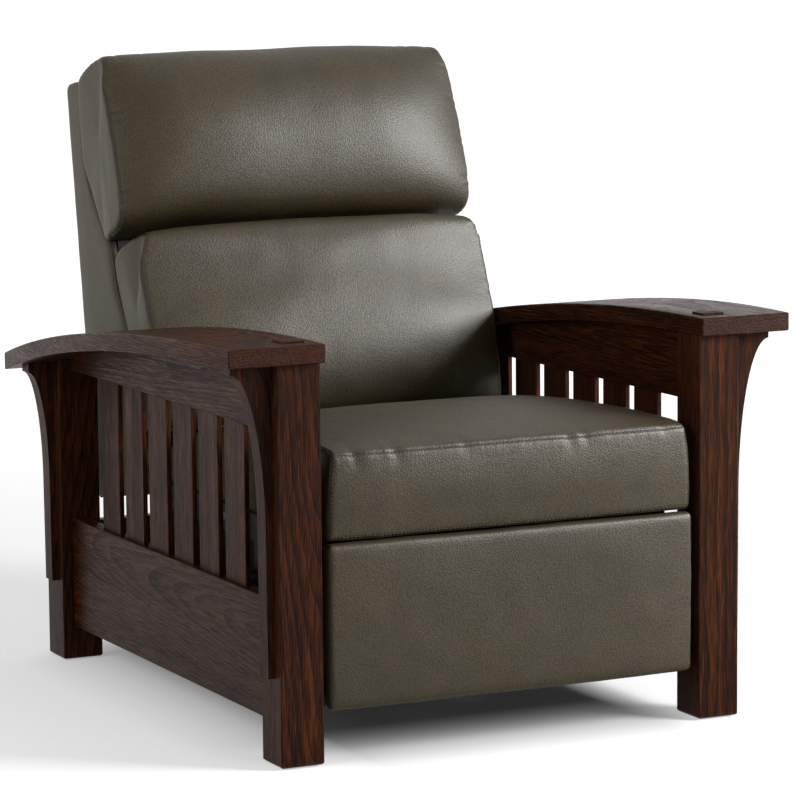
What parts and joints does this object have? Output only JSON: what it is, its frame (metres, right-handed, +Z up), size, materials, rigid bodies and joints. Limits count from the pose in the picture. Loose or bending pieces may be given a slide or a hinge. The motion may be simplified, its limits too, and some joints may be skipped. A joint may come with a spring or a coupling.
{
  "type": "mission reclining armchair",
  "caption": "Wooden armchair with bowed arms, slatted sides, corbels and leather cushions; the back reclines as the seat slides forward, and a footrest panel unfolds.",
  "frame": {"origin": "on the floor, under the middle of the chair's bounding box, with the back upright and the footrest shut", "axes": "+X to the right seen from the front, +Y towards the rear of the chair, +Z up"},
  "size_m": [0.964, 1.0676, 1.0182],
  "materials": {
    "oak": "dark stained oak, satin lacquer",
    "frame_wood": "plain hardwood, unfinished",
    "plywood": "plywood, unfinished",
    "leather": "olive brown leather with a fine pebble grain",
    "webbing": "woven elastic webbing",
    "steel": "black enamelled steel",
    "glide": "nylon"
  },
  "bodies": {
    "frame": {"front_post_left": "oak", "front_post_right": "oak", "rear_post_left": "oak", "rear_post_right": "oak", "arm_left": "oak", "arm_right": "oak", "upper_side_rail_left": "oak", "upper_side_rail_right": "oak", "lower_side_rail_left": "oak", "lower_side_rail_right": "oak", "front_corbel_left": "oak", "front_corbel_right": "oak", "rear_corbel_left": "oak", "rear_corbel_right": "oak", "side_slat_left_1": "oak", "side_slat_left_2": "oak", "side_slat_left_3": "oak", "side_slat_left_4": "oak", "side_slat_left_5": "oak", "side_slat_left_6": "oak", "side_slat_right_1": "oak", "side_slat_right_2": "oak", "side_slat_right_3": "oak", "side_slat_right_4": "oak", "side_slat_right_5": "oak", "side_slat_right_6": "oak", "front_stretcher": "oak", "rear_stretcher": "oak", "floor_glides": "glide", "base_rails": "steel", "cross_tube": "steel"},
    "front_swing": {"front_swing_links": "steel"},
    "rear_swing": {"rear_swing_links": "steel"},
    "seat": {"seat_side_rail_left": "frame_wood", "seat_side_rail_right": "frame_wood", "seat_front_rail": "frame_wood", "seat_rear_rail": "frame_wood", "seat_webbing": "webbing", "seat_cushion": "leather", "side_plates": "steel"},
    "back": {"back_upright_left": "plywood", "back_upright_right": "plywood", "back_top_rail": "frame_wood", "back_bottom_rail": "frame_wood", "back_webbing": "webbing", "outside_back": "leather", "back_side_cover_left": "leather", "back_side_cover_right": "leather", "back_hinge_plates": "steel", "lumbar_cushion": "leather", "head_cushion": "leather"},
    "drive_link": {"drive_links": "steel", "torque_tube": "steel"},
    "cross_link": {"cross_links": "steel"},
    "lift_link": {"lift_links": "steel"},
    "ottoman": {"footrest_brackets": "steel", "footrest_board": "plywood", "footrest_pad": "leather"}
  },
  "joints": [
    {"name": "front_swing_turn", "type": "hinge", "parent": "frame", "child": "front_swing", "pos_m": [0, -0.2598, 0.135], "axis": [1, 0, 0], "range_deg": [0, 32]},
    {"name": "seat_level_turn", "type": "hinge", "parent": "front_swing", "child": "seat", "pos_m": [0, -0.22948, 0.24074], "axis": [-1, 0, 0], "range_deg": [0, 32]},
    {"name": "rear_swing_turn", "type": "hinge", "parent": "frame", "child": "rear_swing", "pos_m": [0, 0.0402, 0.135], "axis": [1, 0, 0], "range_deg": [0, 32]},
    {"name": "back_recline", "type": "hinge", "parent": "seat", "child": "back", "pos_m": [0, 0.20036, 0.33499], "axis": [-1, 0, 0], "range_deg": [0, 38]},
    {"name": "footrest_swing", "type": "hinge", "parent": "seat", "child": "drive_link", "pos_m": [0, -0.4268, 0.305], "axis": [-1, 0, 0], "range_deg": [0, 78]},
    {"name": "cross_link_turn", "type": "hinge", "parent": "drive_link", "child": "cross_link", "pos_m": [0, -0.43725, 0.20555], "axis": [1, 0, 0], "range_deg": [0, 156]},
    {"name": "lift_link_turn", "type": "hinge", "parent": "drive_link", "child": "lift_link", "pos_m": [0, -0.4477, 0.1061], "axis": [1, 0, 0], "range_deg": [0, 156]},
    {"name": "ottoman_turn", "type": "hinge", "parent": "cross_link", "child": "ottoman", "pos_m": [0, -0.4477, 0.305], "axis": [-1, 0, 0], "range_deg": [0, 156]}
  ],
  "couplings": [
    {"joint": "front_swing_turn", "follows": "back_recline", "ratio": 0.8421},
    {"joint": "seat_level_turn", "follows": "back_recline", "ratio": 0.8421},
    {"joint": "rear_swing_turn", "follows": "back_recline", "ratio": 0.8421},
    {"joint": "cross_link_turn", "follows": "footrest_swing", "ratio": 2},
    {"joint": "lift_link_turn", "follows": "footrest_swing", "ratio": 2},
    {"joint": "ottoman_turn", "follows": "footrest_swing", "ratio": 2}
  ]
}
